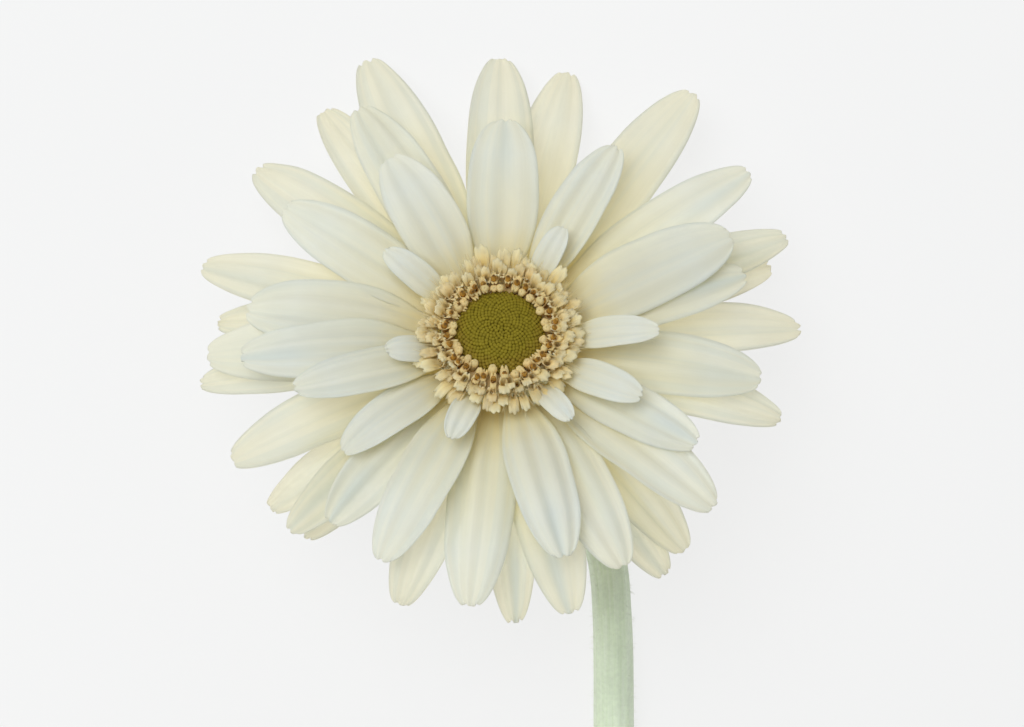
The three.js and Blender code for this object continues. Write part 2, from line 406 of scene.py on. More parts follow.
def mixed_colour(tree, share, first, second, blend="MIX"):
    settings = {"data_type": "RGBA", "blend_type": blend}
    return add(tree, "ShaderNodeMix", settings, (share, first, second)).outputs["Result"]


def bumps(tree, strength, depth, height):
    return add(tree, "ShaderNodeBump", Strength=strength, Distance=depth, Height=height)


def petal_material():
    """White tissue that lets light through: yellow at the claw, with painted shade along its middle, its
    folds and its upper layers.
    """
    material, tree = new_material("petal_tissue")
    along = read_value(tree, "along")
    side = read_value(tree, "side")
    tone = read_value(tree, "tone")
    place = own_place(tree)
    lengthwise = add(tree, "ShaderNodeCombineXYZ", X=times(tree, side, 9), Y=along, Z=tone)
    veins = noise(tree, lengthwise, 2.4, 3, Roughness=0.6)
    folds = noise(tree, lengthwise, 0.42, 1)
    blotches = noise(tree, place, 160, 2)
    ramp = colour_ramp(tree, along, [
        (0, (0.985, 0.84, 0.42, 1)), (0.14, (0.985, 0.905, 0.6, 1)), (0.32, (0.985, 0.955, 0.81, 1)),
        (0.75, (0.985, 0.98, 0.92, 1)), (0.97, (0.985, 0.97, 0.885, 1)),
    ])
    streak = ranged(tree, veins, 0.3, 0.72, 0.98, 1.005)
    patch = ranged(tree, blotches, 0.3, 0.7, 0.985, 1.005)
    shaded = scaled(tree, ramp, times(tree, streak, patch))

    # Painted shade: a cool grey strip down the middle of the outer half, and broad bands beside it, stand for
    # the shade of the petal's furrows and folds
    off_middle = maths(tree, "ABSOLUTE", times_plus(tree, maths(tree, "SINE", tone), 0.18, side))
    depth = smooth_range(tree, maths(tree, "SINE", times(tree, tone, 7)), -0.4, 1, 0, 0.42)
    painted_strip_shade = smooth_range(tree, off_middle, 0.02, 0.42, depth, 0)
    outer = smooth_range(tree, along, 0.45, 0.85, 0, 1)
    painted_band_shade = smooth_range(tree, folds, 0.42, 0.66, 0, 0.17)
    painted_fold_shade = maths(tree, "MAXIMUM", times(tree, painted_strip_shade, outer), painted_band_shade)
    pale = mixed_colour(tree, 1.0, shaded, (0.92, 0.95, 0.97, 1), "MULTIPLY")
    # The painted shade darkens both the front colour and the colour of the light let through
    front_with_painted_shade = mixed_colour(tree, painted_fold_shade, pale, (0.78, 0.86, 0.89, 1))
    warm = mixed_colour(tree, 1.0, shaded, (1, 0.977, 0.915, 1), "MULTIPLY")
    through_with_painted_shade = mixed_colour(tree, painted_fold_shade, warm, (0.66, 0.73, 0.72, 1))

    relief = plus(tree, veins, times(tree, blotches, 0.3))
    bump = bumps(tree, 0.2, 0.12 * MM, relief)
    front = surface(tree, front_with_painted_shade, 0.52, 0.32, bump, Sheen_Weight=0.15)
    through = add(tree, "ShaderNodeBsdfTranslucent", Color=through_with_painted_shade, Normal=bump)
    # Painted shade by layer: towards the tip, petals of the upper layers let less light through, so they read
    # greyer than the lower ones
    clear_tip = ranged(tree, read_value(tree, "firm"), 0, 1, 0.79, 0.46)
    clearness = smooth_range(tree, along, 0.05, 0.55, 0.48, clear_tip)
    finish_material(tree, add(tree, "ShaderNodeMixShader", values=(clearness, front, through)))
    return material


petal_tree = build_petal_tree(petal_material())
for node in sorted(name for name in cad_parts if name.startswith("ray_")):
    cage = petal_cage(node)
    seed_set(sum(ord(letter) * (i + 1) for i, letter in enumerate(node)))
    claw, tip = cage[0][1], cage[-1][1]
    outward = Vector((tip.x - claw.x, tip.y - claw.y, 0)).normalized()
    size = min(1, (tip - claw).length / (30 * MM))
    faces = []
    for row in range(BLADE_ROWS - 1):
        for column in range(2):
            low = row * 3 + column
            faces.append((low, low + 1, low + 4, low + 3))
    mesh = new_mesh(node, [point for row in cage for point in row], faces)
    values = {"along": [], "side": [], "tone": [], "firm": []}
    petal_tone = random()
    for row in cage:
        for column in range(3):
            values["along"].append((row[1] - claw).dot(outward) / (tip - claw).dot(outward))
            values["side"].append(column - 1)
            values["tone"].append(petal_tone * 10)
            values["firm"].append(LAYER_SHADE[node.split("_")[1]])
    for name, numbers in values.items():
        set_values(mesh, name, numbers)
    direction = mesh.attributes.new("outward", "FLOAT_VECTOR", "POINT")
    direction.data.foreach_set("vector", [c for _ in mesh.vertices for c in outward])
    petal = new_object("petal_" + node, mesh)
    grown(
        petal, petal_tree, thickness=PETAL_THICKNESS, ruffle=RUFFLE * size,
        furrow_depth=FURROW_DEPTH * size * (0.6 + 0.7 * random()), notch=TIP_NOTCH * (0.6 + 0.8 * random()),
        curl=TIP_CURL * (2 * random() - 1) * size, seed=random() * tau,
    )
    petal.data.transform(head_frame)
    for vertex in petal.data.vertices:
        vertex.co.z = (vertex.co.z + sqrt(vertex.co.z ** 2 + TABLE_TOUCH ** 2)) / 2
    hand_in(petal, "ray_floret", node)


# ---- Disc florets ---------------------------------------------------------------------------------------
# The disc is a low dome of several hundred unopened florets, packed in two sets of crossing spirals. Each
# is an olive bud on the receptacle, darker towards its foot as painted shade between the buds. The outermost
# are the oldest and turn brown, and the lower side of the disc is browned too, as painted shade.

BUD_COUNT = 560
BUD_RADIUS = 0.33 * MM
BUD_HEIGHT = 0.8 * MM
DISC_RADIUS = 6.95 * MM
DISC_BASE = 4.1 * MM
DISC_RISE = 1.25 * MM
GOLDEN_ANGLE = pi * (3 - sqrt(5))
BUD_PROFILE = [(1.2, 0), (1.15, 0.62), (1.02, 0.8), (0.78, 0.91), (0.42, 0.98)]
BUD_SIDES = 7


def turned_points(profile, sides):
    """Rings of points round the Z axis, one for each (radius, height)."""
    angles = [tau * i / sides for i in range(sides)]
    return [(radius * cos(a), radius * sin(a), height) for radius, height in profile for a in angles]


def band_faces(rows, columns, closed=True):
    """Quads between neighbouring rows of points, outwards when the rows climb and the columns turn left."""
    steps = columns if closed else columns - 1
    return [
        (row * columns + i, row * columns + (i + 1) % columns, (row + 1) * columns + (i + 1) % columns,
         (row + 1) * columns + i)
        for row in range(rows - 1) for i in range(steps)
    ]


def bud_mesh():
    profile = [(radius * BUD_RADIUS, height * BUD_HEIGHT) for radius, height in BUD_PROFILE]
    points = turned_points(profile, BUD_SIDES) + [(0, 0, BUD_HEIGHT * 0.96)]
    faces = band_faces(len(BUD_PROFILE), BUD_SIDES)
    last = (len(BUD_PROFILE) - 1) * BUD_SIDES
    faces += [(last + i, last + (i + 1) % BUD_SIDES, len(points) - 1) for i in range(BUD_SIDES)]
    faces.append(tuple(reversed(range(BUD_SIDES))))
    mesh = new_mesh("bud", points, faces)
    set_values(mesh, "rise", [point[2] / BUD_HEIGHT for point in points])
    return mesh


def spread(tree, amount, seed, salt):
    """A random number either side of nought, the same for one point each time."""
    low = times(tree, amount, -1)
    return add(tree, "FunctionNodeRandomValue", values=(low, amount, None, plus(tree, seed, salt)))


def round_axis(tree, radius, angle, height):
    """A place at this radius and angle round the Z axis."""
    x = times(tree, radius, maths(tree, "COSINE", angle))
    y = times(tree, radius, maths(tree, "SINE", angle))
    return add(tree, "ShaderNodeCombineXYZ", X=x, Y=y, Z=height)


def build_disc_tree(material):
    tree, given = new_tree("packed_disc", {
        "Count": "Int", "Radius": "Float", "Base": "Float", "Rise": "Float", "Golden angle": "Float",
        "Seed": "Int",
    })
    points = add(tree, "GeometryNodePoints", Count=given["Count"])
    index = add(tree, "GeometryNodeInputIndex")
    share = maths(tree, "DIVIDE", plus(tree, index, 0.5), given["Count"])
    outness = maths(tree, "POWER", share, 0.5)
    angle = times(tree, index, given["Golden angle"])
    radius = times(tree, outness, given["Radius"])
    hollow = times(tree, maths(tree, "EXPONENT", times(tree, share, -16)), 0.34)
    dome = minus(tree, minus(tree, 1, maths(tree, "POWER", outness, 2.4)), hollow)
    height = times_plus(tree, dome, given["Rise"], given["Base"])
    seed = given["Seed"]
    place = round_axis(tree, radius, angle, plus(tree, height, spread(tree, 0.06 * MM, seed, 1)))
    placed = add(tree, "GeometryNodeSetPosition", Geometry=points, Position=place)
    # Painted shade: buds on the lower side of the disc are browned as the oldest ones are
    painted_lower_shade = times(tree, times(tree, maths(tree, "SINE", angle), outness), -0.16)
    age = plus(tree, plus(tree, outness, painted_lower_shade), spread(tree, 0.08, seed, 2))
    aged = store(tree, placed, "age", age)
    lean = times_plus(tree, outness, 0.5, spread(tree, 0.16, seed, 3))
    turn = add(tree, "ShaderNodeCombineXYZ", Y=lean, Z=angle)
    size = times_plus(tree, outness, 0.12, plus(tree, spread(tree, 0.08, seed, 4), 0.94))
    buds = add(
        tree, "GeometryNodeInstanceOnPoints", Points=aged, Instance=given["Geometry"],
        Rotation=add(tree, "FunctionNodeEulerToRotation", Euler=turn), Scale=size,
    )
    end_tree(tree, buds, material)
    return tree


def disc_material():
    material, tree = new_material("olive_buds")
    rise = read_value(tree, "rise")
    age = read_value(tree, "age")
    place = own_place(tree)
    grain = noise(tree, place, 1400, 3)
    # Each bud is darker towards its foot: painted shade between the crowded buds
    olive_shaded_below = colour_ramp(tree, rise, [
        (0.5, (0.155, 0.116, 0.007, 1)), (0.8, (0.2, 0.154, 0.009, 1)), (0.97, (0.235, 0.184, 0.014, 1)),
    ])
    brown_shaded_below = colour_ramp(tree, rise, [
        (0.5, (0.13, 0.075, 0.007, 1)), (0.8, (0.18, 0.12, 0.01, 1)), (0.97, (0.24, 0.17, 0.02, 1)),
    ])
    # Brown both for the oldest, outermost buds and as painted shade on the lower side of the disc
    brown_share = ranged(tree, age, 0.7, 1.02, 0, 1)
    colour = mixed_colour(tree, brown_share, olive_shaded_below, brown_shaded_below)
    mottled = scaled(tree, colour, ranged(tree, grain, 0.3, 0.7, 0.85, 1.15))
    bump = bumps(tree, 0.35, 0.03 * MM, grain)
    finish_material(tree, surface(tree, mottled, 0.62, 0.1, bump))
    return material


disc = new_object("disc_buds", bud_mesh())
grown(
    disc, build_disc_tree(disc_material()), count=BUD_COUNT, radius=DISC_RADIUS, base=DISC_BASE,
    rise=DISC_RISE, golden_angle=GOLDEN_ANGLE, seed=3,
)
disc.data.transform(head_frame)
hand_in(disc, "disc_floret", "disc_florets")


# ---- Trans florets --------------------------------------------------------------------------------------
# Between disc and petals stands a ring of small two-lipped florets. Each is a cream tube with a brown throat,
# a short forked inner lip, a three-toothed outer lip that curls away from the disc, and a tube of anthers.
# The tubes are coloured browner towards the foot, partly their own colour and partly painted shade deep
# in the ring.

TUBE_RADIUS = 0.52 * MM
FLORET_WALL = 0.12 * MM
FLORET_BASE = 3.7 * MM
FLORET_AROUND = 30
TUBE_ROWS = 5
LIP_ROWS = 9
LIP_RIDGE = 0.06 * MM


def curled(reach, curl, share):
    """How far out and up a strip of this length has gone, part of the way along its curl."""
    return reach / curl * (1 - cos(curl * share)), reach / curl * sin(curl * share)


def floret_mesh(name, tube, outer, inner, width, curl):
    """One floret, its axis up and its outer lip towards +X: lengths of tube and lips, lip width, curl."""
    points = []
    rise = []
    rows = TUBE_ROWS + LIP_ROWS
    skew = 0.3 * (random() - 0.5)
    roll = (0.2 + 0.5 * random()) * MM
    for row in range(rows):
        for i in range(FLORET_AROUND):
            angle = tau * i / FLORET_AROUND
            out, aside = cos(angle), sin(angle)
            if row < TUBE_ROWS:
                share = row / (TUBE_ROWS - 1)
                radius = TUBE_RADIUS * (0.6 + 0.4 * share * share) * (1 + 0.07 * cos(5 * angle))
                points.append((radius * out, radius * aside, tube * share))
                rise.append(0.4 * share)
                continue
            share = (row - TUBE_ROWS + 1) / LIP_ROWS
            if out > 0:
                notch = 1 - 0.2 * max(0, 1 - abs(abs(aside + skew) - 0.36) / 0.16)
                away, up = curled(outer * (1 - abs(aside) ** 5) * notch + 0.1 * MM, curl, share)
                opened = min(1, share * 2.2)
                half = TUBE_RADIUS + (width / 2 - TUBE_RADIUS) * opened * (1 - abs(aside) ** 5)
                ridge = LIP_RIDGE * cos(3 * pi * aside) * opened
                droop = roll * aside * aside * share
                points.append((TUBE_RADIUS * out + away + ridge, half * aside, tube + up - droop + ridge))
            else:
                cleft = max(0, 1 - abs(aside) / 0.3)
                away, up = curled(inner * (1 - abs(aside) ** 4) * (1 - 0.8 * cleft) + 0.1 * MM, 2.3, share)
                points.append((TUBE_RADIUS * out - away, TUBE_RADIUS * aside * (1 + 0.25 * share), tube + up))
            rise.append(0.4 + 0.6 * share)
    mesh = new_mesh(name, points, band_faces(rows, FLORET_AROUND))
    set_values(mesh, "rise", rise)
    return mesh


KNOB_PROFILE = [
    (0.55, 0), (0.62, 0.3), (0.8, 0.52), (1, 0.7), (1.04, 0.82), (0.95, 0.92), (0.74, 0.99), (0.42, 1.03),
    (0.12, 0.99),
]
KNOB_AROUND = 20
TURN_SPREAD = 0.06
HEIGHT_SPREAD = 0.22 * MM


def knob_mesh(name, radius, height):
    """A floret about to open: its five lobes still meet in a rounded knob with a small hollow on top."""
    points = []
    phase = tau * random()
    bow = 0.5 * (random() - 0.5) * MM
    slope = 0.5 * (random() - 0.5)
    for reach, level in KNOB_PROFILE:
        for i in range(KNOB_AROUND):
            angle = tau * i / KNOB_AROUND
            lobe = 1 - 0.24 * level * (1 - abs(cos(2.5 * angle + phase))) ** 1.5
            x = radius * reach * lobe * cos(angle)
            y = radius * reach * lobe * sin(angle) * (1 + 0.2 * cos(angle + phase))
            points.append((x + bow * level * level, y, height * level + slope * x * level))
    mesh = new_mesh(name, points, band_faces(len(KNOB_PROFILE), KNOB_AROUND))
    last = len(KNOB_PROFILE) - 1
    rise = [0.48 if row == last else 0.42 + 0.5 * level for row, (_, level) in enumerate(KNOB_PROFILE)]
    set_values(mesh, "rise", [value for value in rise for _ in range(KNOB_AROUND)])
    return mesh


def build_ring_tree(name, material, wall=0):
    """A tree that stands parts from a collection round the head, each turned to face outwards."""
    tree, given = new_tree(name, {
        "Parts": "Collection", "Count": "Int", "Radius": "Float", "Radius spread": "Float", "Height": "Float",
        "Height spread": "Float", "Lean": "Float", "Lean spread": "Float", "Turn spread": "Float",
        "Size spread": "Float", "Seed": "Int",
    })
    seed = given["Seed"]
    points = add(tree, "GeometryNodePoints", Count=given["Count"])
    index = add(tree, "GeometryNodeInputIndex")
    step = maths(tree, "DIVIDE", tau, given["Count"])
    angle = times_plus(tree, index, step, spread(tree, given["Turn spread"], seed, 1))
    radius = plus(tree, given["Radius"], spread(tree, given["Radius spread"], seed, 2))
    height = plus(tree, given["Height"], spread(tree, given["Height spread"], seed, 3))
    place = round_axis(tree, radius, angle, height)
    placed = add(tree, "GeometryNodeSetPosition", Geometry=points, Position=place)
    toned = store(tree, placed, "tone", spread(tree, 1.0, seed, 4))
    lean = plus(tree, given["Lean"], spread(tree, given["Lean spread"], seed, 5))
    facing = plus(tree, angle, spread(tree, times(tree, given["Turn spread"], 2), seed, 6))
    turn = add(tree, "ShaderNodeCombineXYZ", Y=lean, Z=facing)
    size = plus(tree, spread(tree, given["Size spread"], seed, 7), 1)
    parts = add(
        tree, "GeometryNodeCollectionInfo", Collection=given["Parts"], Separate_Children=True,
        Reset_Children=True,
    )
    draw = (0, 99, None, plus(tree, seed, 8))
    which = add(tree, "FunctionNodeRandomValue", {"data_type": "INT"}, draw)
    stood = add(
        tree, "GeometryNodeInstanceOnPoints", Points=toned, Instance=parts, Pick_Instance=True,
        Instance_Index=which, Rotation=add(tree, "FunctionNodeEulerToRotation", Euler=turn), Scale=size,
    )
    grown_parts = add(tree, "GeometryNodeRealizeInstances", Geometry=stood)
    if wall:
        grown_parts = thickened(tree, grown_parts, wall)
    end_tree(tree, grown_parts, material)
    return tree


def grow_ring(name, tree, meshes, **sizes):
    """One piece made of many parts round the head, chosen from these meshes."""
    parts = bpy.data.collections.new(name + "_parts")
    members = [bpy.data.objects.new(mesh.name, mesh) for mesh in meshes]
    for member in members:
        parts.objects.link(member)
    piece = grown(new_object(name, new_mesh(name, [])), tree, parts=parts, **sizes)
    for member in members:
        bpy.data.objects.remove(member)
    bpy.data.collections.remove(parts)
    piece.data.transform(head_frame)
    return piece


def floret_material(name, tube_tone, throat_tone, lip_tone):
    material, tree = new_material(name)
    rise = read_value(tree, "rise")
    tone = read_value(tree, "tone")
    place = own_place(tree)
    grain = noise(tree, place, 700, 3)
    # Browner towards the foot of the tube: partly the floret's own colour, partly painted shade deep in the
    # ring
    cream = colour_ramp(tree, rise, [
        (0, tube_tone), (0.36, throat_tone), (0.52, (0.97, 0.83, 0.44, 1)), (1, lip_tone),
    ])
    gold = ranged(tree, tone, -0.2, 1, 0, 0.4)
    tinted = mixed_colour(tree, gold, cream, (0.95, 0.75, 0.36, 1))
    shaded = scaled(tree, tinted, ranged(tree, grain, 0.3, 0.7, 0.92, 1.06))
    bump = bumps(tree, 0.4, 0.04 * MM, grain)
    front = surface(tree, shaded, 0.5, 0.35, bump)
    through = add(tree, "ShaderNodeBsdfTranslucent", Color=shaded, Normal=bump)
    finish_material(tree, add(tree, "ShaderNodeMixShader", values=(0.5, front, through)))
    return material


def several(count, shape, name, *limits):
    """Meshes of one shape, each with its sizes drawn between the limits given in millimetres or radians."""
    return [
        shape(f"{name}_{i}", *(low + (high - low) * random() for low, high in limits)) for i in range(count)
    ]


def mm(low, high):
    return low * MM, high * MM


seed_set(21)
# The first tone of each, at the foot of the tube, carries painted shade as well as the tube's own colour
cream_tones = (0.7, 0.36, 0.06, 1), (0.92, 0.68, 0.22, 1), (0.97, 0.84, 0.45, 1)
pale_tones = (0.93, 0.76, 0.38, 1), (0.97, 0.85, 0.49, 1), (0.98, 0.93, 0.69, 1)
cream_tree = build_ring_tree("floret_ring", floret_material("cream_floret", *cream_tones), FLORET_WALL)
pale_tree = build_ring_tree("pale_floret_ring", floret_material("pale_floret", *pale_tones), FLORET_WALL)
knobs = several(5, knob_mesh, "knob", mm(0.58, 0.8), mm(1.9, 2.4))
small = several(6, floret_mesh, "small", mm(1.7, 2.1), mm(0.7, 1.5), mm(0.7, 1.2), mm(1.4, 1.9), (1.5, 2.6))
middling = several(7, floret_mesh, "middling", mm(1.6, 2), mm(1.4, 2.4), mm(0.5, 1), mm(2.1, 2.9), (1.4, 2.5))
lipped = several(9, floret_mesh, "lipped", mm(1.2, 1.6), mm(2.3, 3.9), mm(0.5, 0.8), mm(2.5, 3.5), (1.1, 2.1))

FLORET_ROWS = [
    # name, tree, meshes, count, radius, radius spread, height over the base, lean, lean spread, CAD node
    ("knobs", cream_tree, knobs, 29, 7.95, 0.25, 0.3, -10, 16, "trans_florets_inner"),
    ("small", cream_tree, small, 34, 8.75, 0.45, 0.1, -6, 20, "trans_florets_inner"),
    ("middling", pale_tree, middling, 45, 9.6, 0.5, -0.05, 8, 20, "trans_florets_outer"),
    ("lipped", pale_tree, lipped, 46, 10.5, 0.5, -0.35, 24, 18, "trans_florets_outer"),
]
for seed, row in enumerate(FLORET_ROWS):
    name, ring, meshes, count, radius, radius_spread, height, lean, lean_spread, node = row
    florets = grow_ring(
        "trans_florets_" + name, ring, meshes, count=count, radius=radius * MM,
        radius_spread=radius_spread * MM, height=FLORET_BASE + height * MM, height_spread=HEIGHT_SPREAD,
        lean=radians(lean), lean_spread=radians(lean_spread), turn_spread=TURN_SPREAD, size_spread=0.16,
        seed=11 + seed,
    )
    hand_in(florets, "trans_floret", node)


# ---- Anthers --------------------------------------------------------------------------------------------
# The anthers of a trans floret are joined into a tube that stands out of its throat: orange brown with
# pollen, and nearly black where it has dried at the top.

ANTHER_COUNT = 34
ANTHER_RADIUS = 0.46 * MM
ANTHER_LENGTH = 1.7 * MM
ANTHER_PROFILE = [(0.7, 0), (0.9, 0.3), (1, 0.6), (0.95, 0.8), (0.6, 0.95), (0.25, 1)]
ANTHER_SIDES = 10


def anther_mesh(name):
    """A five-ribbed tube of anthers with a frayed top, bent a little."""
    points = []
    bend = 0.5 * (random() - 0.5)
    for radius, height in ANTHER_PROFILE:
        for i in range(ANTHER_SIDES):
            angle = tau * i / ANTHER_SIDES
            rib = 1 - 0.14 * (i % 2)
            fray = 0.12 * random() * height
            points.append((
                ANTHER_RADIUS * radius * rib * cos(angle) + bend * height * height * ANTHER_LENGTH,
                ANTHER_RADIUS * radius * rib * sin(angle), ANTHER_LENGTH * (height + fray),
            ))
    rows = len(ANTHER_PROFILE)
    last = (rows - 1) * ANTHER_SIDES
    caps = [tuple(reversed(range(ANTHER_SIDES))), tuple(range(last, last + ANTHER_SIDES))]
    mesh = new_mesh(name, points, band_faces(rows, ANTHER_SIDES) + caps)
    set_values(mesh, "rise", [height for _, height in ANTHER_PROFILE for _ in range(ANTHER_SIDES)])
    return mesh


def anther_material():
    material, tree = new_material("anther_pollen")
    place = own_place(tree)
    pollen = noise(tree, place, 1800, 4)
    colour = colour_ramp(tree, read_value(tree, "rise"), [
        (0, (0.52, 0.26, 0.04, 1)), (0.6, (0.56, 0.3, 0.045, 1)), (0.85, (0.38, 0.18, 0.025, 1)),
        (1, (0.12, 0.06, 0.012, 1)),
    ])
    dusted = mixed_colour(tree, ranged(tree, pollen, 0.5, 0.7, 0, 0.6), colour, (0.68, 0.38, 0.07, 1))
    bump = bumps(tree, 0.6, 0.04 * MM, pollen)
    finish_material(tree, surface(tree, dusted, 0.75, 0.25, bump))
    return material


seed_set(33)
anthers = grow_ring(
    "anthers", build_ring_tree("anther_ring", anther_material()),
    [anther_mesh(f"anther_{i}") for i in range(6)], count=ANTHER_COUNT, radius=8.75 * MM,
    radius_spread=0.45 * MM, height=FLORET_BASE + 1.4 * MM, height_spread=HEIGHT_SPREAD, lean=radians(-6),
    lean_spread=radians(20), turn_spread=TURN_SPREAD, size_spread=0.13, seed=12,
)
hand_in(anthers, "trans_floret", "trans_florets_inner")


# ---- Pappus ---------------------------------------------------------------------------------------------
# Each floret's ovary carries a tuft of fine straw-coloured bristles, which show between the tubes.

BRISTLE_COUNT = 560
BRISTLE_RADIUS = 0.075 * MM
BRISTLE_LENGTH = 4.3 * MM
BRISTLE_ROWS = 5


def bristle_mesh(name):
    """A fine three-sided bristle that tapers and bends."""
    bend = 0.5 * random()
    sway = 0.3 * (random() - 0.5)
    points = []
    for row in range(BRISTLE_ROWS):
        share = row / (BRISTLE_ROWS - 1)
        radius = BRISTLE_RADIUS * (1 - 0.75 * share)
        for i in range(3):
            points.append((
                radius * cos(tau * i / 3) + bend * BRISTLE_LENGTH * share * share,
                radius * sin(tau * i / 3) + sway * BRISTLE_LENGTH * share * share, BRISTLE_LENGTH * share,
            ))
    last = 3 * (BRISTLE_ROWS - 1)
    mesh = new_mesh(name, points, band_faces(BRISTLE_ROWS, 3) + [(2, 1, 0), (last, last + 1, last + 2)])
    set_values(mesh, "rise", [row / (BRISTLE_ROWS - 1) for row in range(BRISTLE_ROWS) for _ in range(3)])
    return mesh


def bristle_material():
    material, tree = new_material("straw_bristle")
    tones = [(0, (0.72, 0.56, 0.26, 1)), (1, (0.8, 0.66, 0.32, 1))]
    straw = colour_ramp(tree, read_value(tree, "rise"), tones)
    share = ranged(tree, read_value(tree, "tone"), -1, 1, 0, 0.5)
    pale = mixed_colour(tree, share, straw, (0.85, 0.8, 0.6, 1))
    finish_material(tree, surface(tree, pale, 0.5))
    return material


bristle_tree = build_ring_tree("bristle_ring", bristle_material())
pappus = grow_ring(
    "pappus", bristle_tree, [bristle_mesh(f"bristle_{i}") for i in range(9)], count=BRISTLE_COUNT,
    radius=9.9 * MM, radius_spread=1.2 * MM, height=3.4 * MM, height_spread=0.3 * MM, lean=radians(32),
    lean_spread=radians(30), turn_spread=0.16, size_spread=0.25, seed=41,
)
hand_in(pappus, "trans_floret", "trans_florets_outer")


# ---- Involucre: the bracts ------------------------------------------------------------------------------
# Three rows of narrow green bracts clasp the receptacle from below. They are leafy and downy, with a pale
# thin margin and a darker midrib, and they overlap like roof tiles. The innermost row is the longest.

BRACT_COUNT = 21
BRACT_WALL = 0.32 * MM
BRACT_WIDTH = 3.3 * MM
BRACT_ROWS = 13
BRACT_COLUMNS = 7
CLASP = [(3.9, -12.8), (5.5, -10.7), (7.2, -7.9), (9, -5.9), (11, -5), (13.4, -4.8)]
BRACT_ROW_GAP = 0.95


def along_line(line, share):
    place = min(max(share, 0), 1) * (len(line) - 1)
    i = min(int(place), len(line) - 2)
    (r0, h0), (r1, h1) = line[i], line[i + 1]
    return r0 + (r1 - r0) * (place - i), h0 + (h1 - h0) * (place - i)


def bract_mesh(name, gap, length):
    """One bract under the head: a pointed strip along the clasp line, with a raised midrib."""
    points = []
    rise = []
    side = []
    lift = 0.35 * (random() - 0.5)
    for row in range(BRACT_ROWS):
        share = row / (BRACT_ROWS - 1)
        r0, h0 = along_line(CLASP, length * share - 0.02)
        r1, h1 = along_line(CLASP, length * share + 0.02)
        step = max(sqrt((r1 - r0) ** 2 + (h1 - h0) ** 2), 0.001)
        radius = (r0 + r1) / 2 + (h1 - h0) / step * gap
        height = (h0 + h1) / 2 - (r1 - r0) / step * gap - lift * share ** 3
        width = BRACT_WIDTH * (0.5 + 1.05 * share) * (1 - share ** 3) ** 0.8 + 0.12 * MM
        for column in range(BRACT_COLUMNS):
            aside = 2 * column / (BRACT_COLUMNS - 1) - 1
            angle = aside * width / 2 / (radius * MM)
            tile = 0.24 * aside * (1 - 0.6 * share)
            keel = -0.1 * (1 - abs(aside)) * (1 - share)
            outward = radius + (keel + tile) * (h1 - h0) / step
            down = height + (keel + tile) * (r1 - r0) / step
            points.append((outward * MM * cos(angle), outward * MM * sin(angle), down * MM))
            rise.append(share)
            side.append(aside)
    mesh = new_mesh(name, points, band_faces(BRACT_ROWS, BRACT_COLUMNS, closed=False))
    set_values(mesh, "rise", rise)
    set_values(mesh, "side", side)
    return mesh


def bract_material():
    material, tree = new_material("downy_green")
    rise = read_value(tree, "rise")
    side = read_value(tree, "side")
    tone = read_value(tree, "tone")
    place = own_place(tree)
    mottle = noise(tree, place, 380, 3)
    ribs = add(tree, "ShaderNodeCombineXYZ", X=times(tree, side, 14), Y=times(tree, rise, 2), Z=tone)
    veins = noise(tree, ribs, 1.6, 2)
    green = colour_ramp(tree, rise, [
        (0, (0.36, 0.46, 0.2, 1)), (0.5, (0.2, 0.33, 0.1, 1)), (0.85, (0.15, 0.26, 0.075, 1)),
        (1, (0.2, 0.16, 0.08, 1)),
    ])
    edge = ranged(tree, maths(tree, "ABSOLUTE", side), 0.62, 1, 0, 0.75)
    margined = mixed_colour(tree, edge, green, (0.5, 0.56, 0.34, 1))
    middle = ranged(tree, maths(tree, "ABSOLUTE", side), 0, 0.2, 0.35, 0)
    ribbed = mixed_colour(tree, middle, margined, (0.09, 0.17, 0.04, 1))
    shade = times(tree, ranged(tree, mottle, 0.3, 0.7, 0.85, 1.15), ranged(tree, veins, 0.3, 0.7, 0.88, 1.1))
    shaded = scaled(tree, ribbed, shade)
    relief = times_plus(tree, veins, 0.8, mottle)
    bump = bumps(tree, 0.5, 0.08 * MM, relief)
    finish_material(tree, surface(tree, shaded, 0.68, 0.3, bump, Sheen_Weight=0.5, Sheen_Roughness=0.4))
    return material


seed_set(55)
bract_tree = build_ring_tree("bract_row", bract_material(), BRACT_WALL)
for row, (row_name, length) in enumerate([("inner", 0.98), ("middle", 0.78), ("outer", 0.58)]):
    kinds = [bract_mesh(f"bract_{row_name}_{i}", BRACT_ROW_GAP * row, length) for i in range(6)]
    bracts = grow_ring(
        f"bracts_{row_name}", bract_tree, kinds, count=BRACT_COUNT - 2 * row, turn_spread=0.03, seed=60 + row,
    )
    hand_in(bracts, "bract", f"involucre_{row_name}_bracts")


# ---- Receptacle -----------------------------------------------------------------------------------------
# The swollen end of the stem, a solid cup of firm pale tissue. Petals root round its side in low sockets,
# and florets on its domed top.

CORE_PROFILE = [
    (0, -13), (3.2, -13), (3.7, -12.4), (4.3, -11.4), (5.3, -9.9), (6.3, -8.1), (7.2, -6.8), (8.1, -5.6),
    (9, -4.8), (9.6, -4.3), (9.75, -3.6), (9.8, -2), (9.8, 0), (9.8, 2), (9.7, 3), (9.2, 3.5), (8, 3.7),
    (6.8, 3.95), (5, 4.6), (3, 5.05), (1.2, 5.0), (0, 4.85),
]
CORE_SIDES = 72


